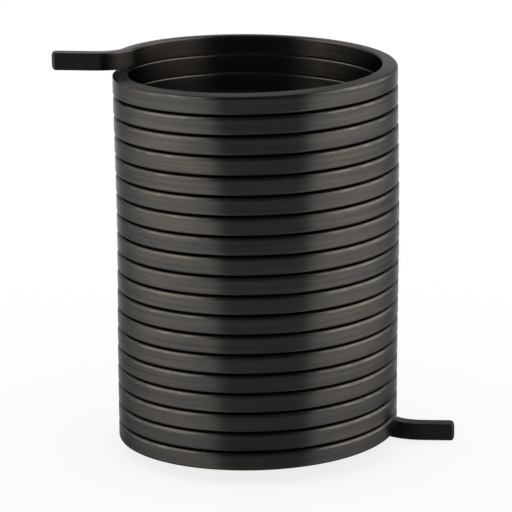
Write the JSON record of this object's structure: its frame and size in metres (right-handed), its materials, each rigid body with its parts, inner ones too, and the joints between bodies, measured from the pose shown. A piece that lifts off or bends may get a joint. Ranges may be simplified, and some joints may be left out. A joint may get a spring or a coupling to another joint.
{
  "type": "torsion spring",
  "caption": "Helical torsion spring wound from rectangular wire, with both wire ends bent outward into short straight legs on opposite sides.",
  "frame": {"origin": "on the coil's axis, level with the underside of the lower leg's tip", "axes": "+Z along the coil's axis from the lower leg to the upper leg; the lower leg points along +X and the upper leg along -X"},
  "size_m": [0.0511, 0.036, 0.0512],
  "materials": {
    "spring_steel": "dark oiled spring steel, satin, with fine drawn lines along the wire and bare sheared ends"
  },
  "bodies": {
    "root": {"torsion_spring": "spring_steel"}
  },
  "joints": []
}
